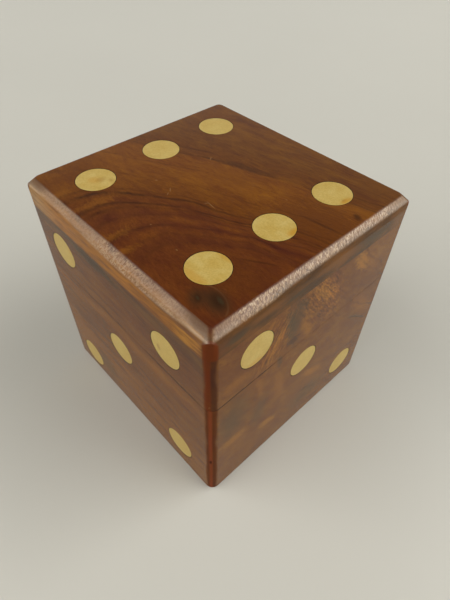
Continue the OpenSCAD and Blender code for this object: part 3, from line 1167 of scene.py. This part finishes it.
def bare_wood(name, side, seed):
    """Planed wood with no finish, its grain along the strip."""
    finish, tree, surface = new_finish(name)
    bent = wander(face_place(tree, side), 30.0, 4.0, seed)
    colour = ramp_of(streaks(bent, 1, 60.0, 2.4), [
        (0.32, PALE_WOOD_DARK), (0.5, PALE_WOOD), (0.68, PALE_WOOD_LIGHT),
    ])
    fibre = streaks(bent, 1, 11.0, 0.35, 4.0, 0.6)
    colour = tinted(colour, 0.8, fibre,
        (0.25, (0.8, 0.78, 0.75)), (0.75, (1.15, 1.15, 1.15)),
    )
    pore = cross_fade(streaks(bent, 1, 3.0, 0.14, 2.0), 0.6, 0.7)
    height = sum_up("SUBTRACT", times(fibre, 0.5), pore)
    set_inputs(surface, {
        "Base Color": lay_over(times(pore, PORE_SHARE), colour, PALE_WOOD_DARK),
        "Roughness": cross_fade(fibre, 0.3, 0.7, 0.62, 0.78),
        "Specular IOR Level": 0.3, "Normal": bump_of(0.35, PLANED_RISE, height),
    })
    return finish


def sharp_edges(shape, turn):
    """Edges where two faces meet at more than the turn, in degrees."""
    return [
        e for e in shape.edges
        if len(e.link_faces) == 2 and e.calc_face_angle() > math.radians(turn)
    ]


for number, side in enumerate(SIDES):
    out = OUTWARD[side]
    name = "liner_" + side
    low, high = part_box(name)
    along_strip = UP.cross(out)
    inner, outer = sorted((low.dot(out), high.dot(out)))
    half_length = abs((high - low).dot(along_strip)) / 2
    strip = bmesh.new()
    profile = [
        (inner, low.z), (outer, low.z), (outer, SEAM), (outer - LID_CLEARANCE, SEAM),
        (outer - LID_CLEARANCE, high.z - RIM_CHAMFER),
        (outer - LID_CLEARANCE - RIM_CHAMFER, high.z),
        (inner, high.z),
    ]
    end_face = strip.faces.new([
        strip.verts.new(out * across - along_strip * half_length + UP * height)
        for across, height in profile
    ])
    pulled = bmesh.ops.extrude_face_region(strip, geom=[end_face])["geom"]
    bmesh.ops.translate(
        strip, vec=along_strip * (2 * half_length), verts=only(bmesh.types.BMVert, pulled)
    )
    face_out(strip)
    mitre_ends(strip, out, outer, half_length)
    arris = [
        e for e in sharp_edges(strip, LINER_CREASE)
        if min(v.co.z for v in e.verts) > SEAM + MM and not mitred(e.link_faces, along_strip)
    ]
    bevel(strip, arris, LINER_EASE, EASE_FLATS)
    face_out(strip)
    pin, pip = PIN_BEHIND.get(side, (None, None))
    if pin:
        catch = (middle_of(pin), round_size(pin) + CATCH_CLEARANCE, CATCH_DEPTH, BORE_EASE)
        close_up(strip, drill(strip, out, [catch])[0])
        face_out(strip)
    piece = new_piece("liner_strip_" + side, strip, bare_wood("pale_" + side, side, 41.0 + number))
    smooth_over(piece)
    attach(piece, "base")
    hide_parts(name)


# ---- Pips ----
# Round plugs of pale yellow wood, glued into their seats and sanded flush with the face.
# The lacquer has yellowed on them, and a few have a stain.
PIP_EASE = 0.12 * MM
PIP_CREASE = 60
PIP_RISE = 0.06 * MM
MOUTH_DEPTH = 0.1 * MM
PIP_FACE = 0.9
PIP_WOOD = (0.515, 0.365, 0.098)
PIP_WOOD_DEEP = (0.49, 0.335, 0.078)
PIP_WOOD_LIGHT = (0.54, 0.40, 0.125)
PIP_AMBER = (0.47, 0.235, 0.014)
PIP_BROWN = (0.30, 0.155, 0.020)

# colour, strength, middle in millimetres, and half its size along X, Y and Z
PIP_STAINS = [
    (PIP_AMBER, 0.5, (-23.4, -22.8, 76), 2.0, 2.0, 2),
    (PIP_BROWN, 0.4, (-22.4, -21.2, 76), 1.3, 1.6, 2),
    (PIP_BROWN, 0.45, (-20.6, -19.4, 76), 1.0, 0.8, 2),
    (PIP_AMBER, 0.8, (27.6, 20.2, 76), 0.9, 2.4, 2),
    (PIP_BROWN, 0.5, (27.2, 19.9, 76), 0.4, 0.8, 2),
    (PIP_AMBER, 0.85, (27.1, 1.2, 76), 1.3, 3.2, 2),
    (PIP_AMBER, 0.5, (22.5, -27.0, 76), 4.5, 1.5, 2),
    (PIP_AMBER, 0.4, (22.5, -17.6, 76), 5.5, 0.9, 2),
    (PIP_BROWN, 0.7, (19.4, -36.2, 56.4), 0.7, 2, 1.1),
    (PIP_AMBER, 0.5, (-19.5, -36.2, 61.5), 1.0, 2, 1.6),
    (PIP_AMBER, 0.4, (38.0, -22.0, 56.0), 2, 4.0, 1.0),
]

pip_finish, tree, surface = new_finish("yellow_wood")
place = place_in_mm(tree)
cloud = mottling(place, 0.35)
colour = ramp_of(cloud, [
    (0.32, PIP_WOOD_DEEP), (0.5, PIP_WOOD), (0.68, PIP_WOOD_LIGHT),
])
speck = mottling(place, 2.2)
colour = tinted(colour, 0.8, speck, (0.3, (0.88, 0.85, 0.72)), (0.7, (1.10, 1.10, 1.15)))
bent = wander(place, 2.5, 1.0, 5.0)
for tone, strength, middle, half_width, half_depth, half_height in PIP_STAINS:
    nearby = along(bent, 0, half_width, half_depth, middle, half_height)
    amount = cross_fade(length_of(nearby), 0.3, 1.3, strength, 0.0)
    colour = lay_over(amount, colour, tone)
set_inputs(surface, {
    "Base Color": colour, "Roughness": cross_fade(cloud, 0.3, 0.7, 0.36, 0.46),
    "Specular IOR Level": 0.35, "Normal": bump_of(0.2, PIP_RISE, speck),
})

for name, node in frame["nodes"].items():
    if not name.startswith("pip_"):
        continue
    out = OUTWARD[name.split("_")[1]]
    plug = bmesh.new()
    face_middle = middle_of(name) + out * (PIP_DEPTH / 2)
    bmesh.ops.create_circle(
        plug, cap_ends=True, segments=RING_POINTS, radius=round_size(name),
        matrix=facing(face_middle, out),
    )
    rim = [e for e in plug.edges if e.is_boundary]
    skirt = bmesh.ops.extrude_edge_only(plug, edges=rim)["geom"]
    bmesh.ops.translate(plug, vec=-out * PIP_DEPTH, verts=only(bmesh.types.BMVert, skirt))
    close_up(plug, only(bmesh.types.BMEdge, skirt))
    face_out(plug)
    mouth = [
        e for e in sharp_edges(plug, PIP_CREASE)
        if all((v.co - face_middle).dot(out) > -MOUTH_DEPTH for v in e.verts)
    ]
    bevel(plug, mouth, PIP_EASE, EASE_FLATS)
    for face in plug.faces:
        if face.normal.dot(out) < PIP_FACE:
            face.material_index = GLUE_SLOT
    piece = new_board(name.replace("pip_", "plug_"), plug, pip_finish)
    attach(piece, "lid" if node.parent is frame["bodies"]["lid"] else "base")
    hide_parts(name)


# ---- Lock pins ----
# Two short lengths of bright steel rod, cut and turned to a small chamfer at both ends.
# They lie loose in the bores of the lid's end boards.
PIN_CHAMFER = 0.3 * MM
PIN_CREASE = 60
PIN_POINTS = 48
TURNED_RISE = 0.03 * MM
STEEL = (0.56, 0.57, 0.58)
STEEL_DARK = (0.36, 0.36, 0.37)

pin_finish, tree, surface = new_finish("turned_steel")
place = place_in_mm(tree)
tool_marks = mottling(along(place, 0, 0.08, 3.0), 1.0)
dull = mottling(place, 0.8)
set_inputs(surface, {
    "Base Color": ramp_of(dull, [(0.35, STEEL_DARK), (0.6, STEEL)]), "Metallic": 1.0,
    "Roughness": cross_fade(tool_marks, 0.3, 0.7, 0.22, 0.40),
    "Normal": bump_of(0.3, TURNED_RISE, tool_marks),
})

for side in ("right", "left"):
    name = "lock_pin_" + side
    low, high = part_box(name)
    rod = bmesh.new()
    lie_along_x = Matrix.Translation(middle_of(name)) @ Matrix.Rotation(math.radians(90), 4, "Y")
    bmesh.ops.create_cone(
        rod, cap_ends=True, segments=PIN_POINTS, radius1=round_size(name),
        radius2=round_size(name), depth=high.x - low.x, matrix=lie_along_x,
    )
    bevel(rod, sharp_edges(rod, PIN_CREASE), PIN_CHAMFER, 1)
    face_out(rod)
    piece = new_piece("lock_rod_" + side, rod, pin_finish)
    smooth_over(piece)
    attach(piece, side + "_pin")
    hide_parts(name)
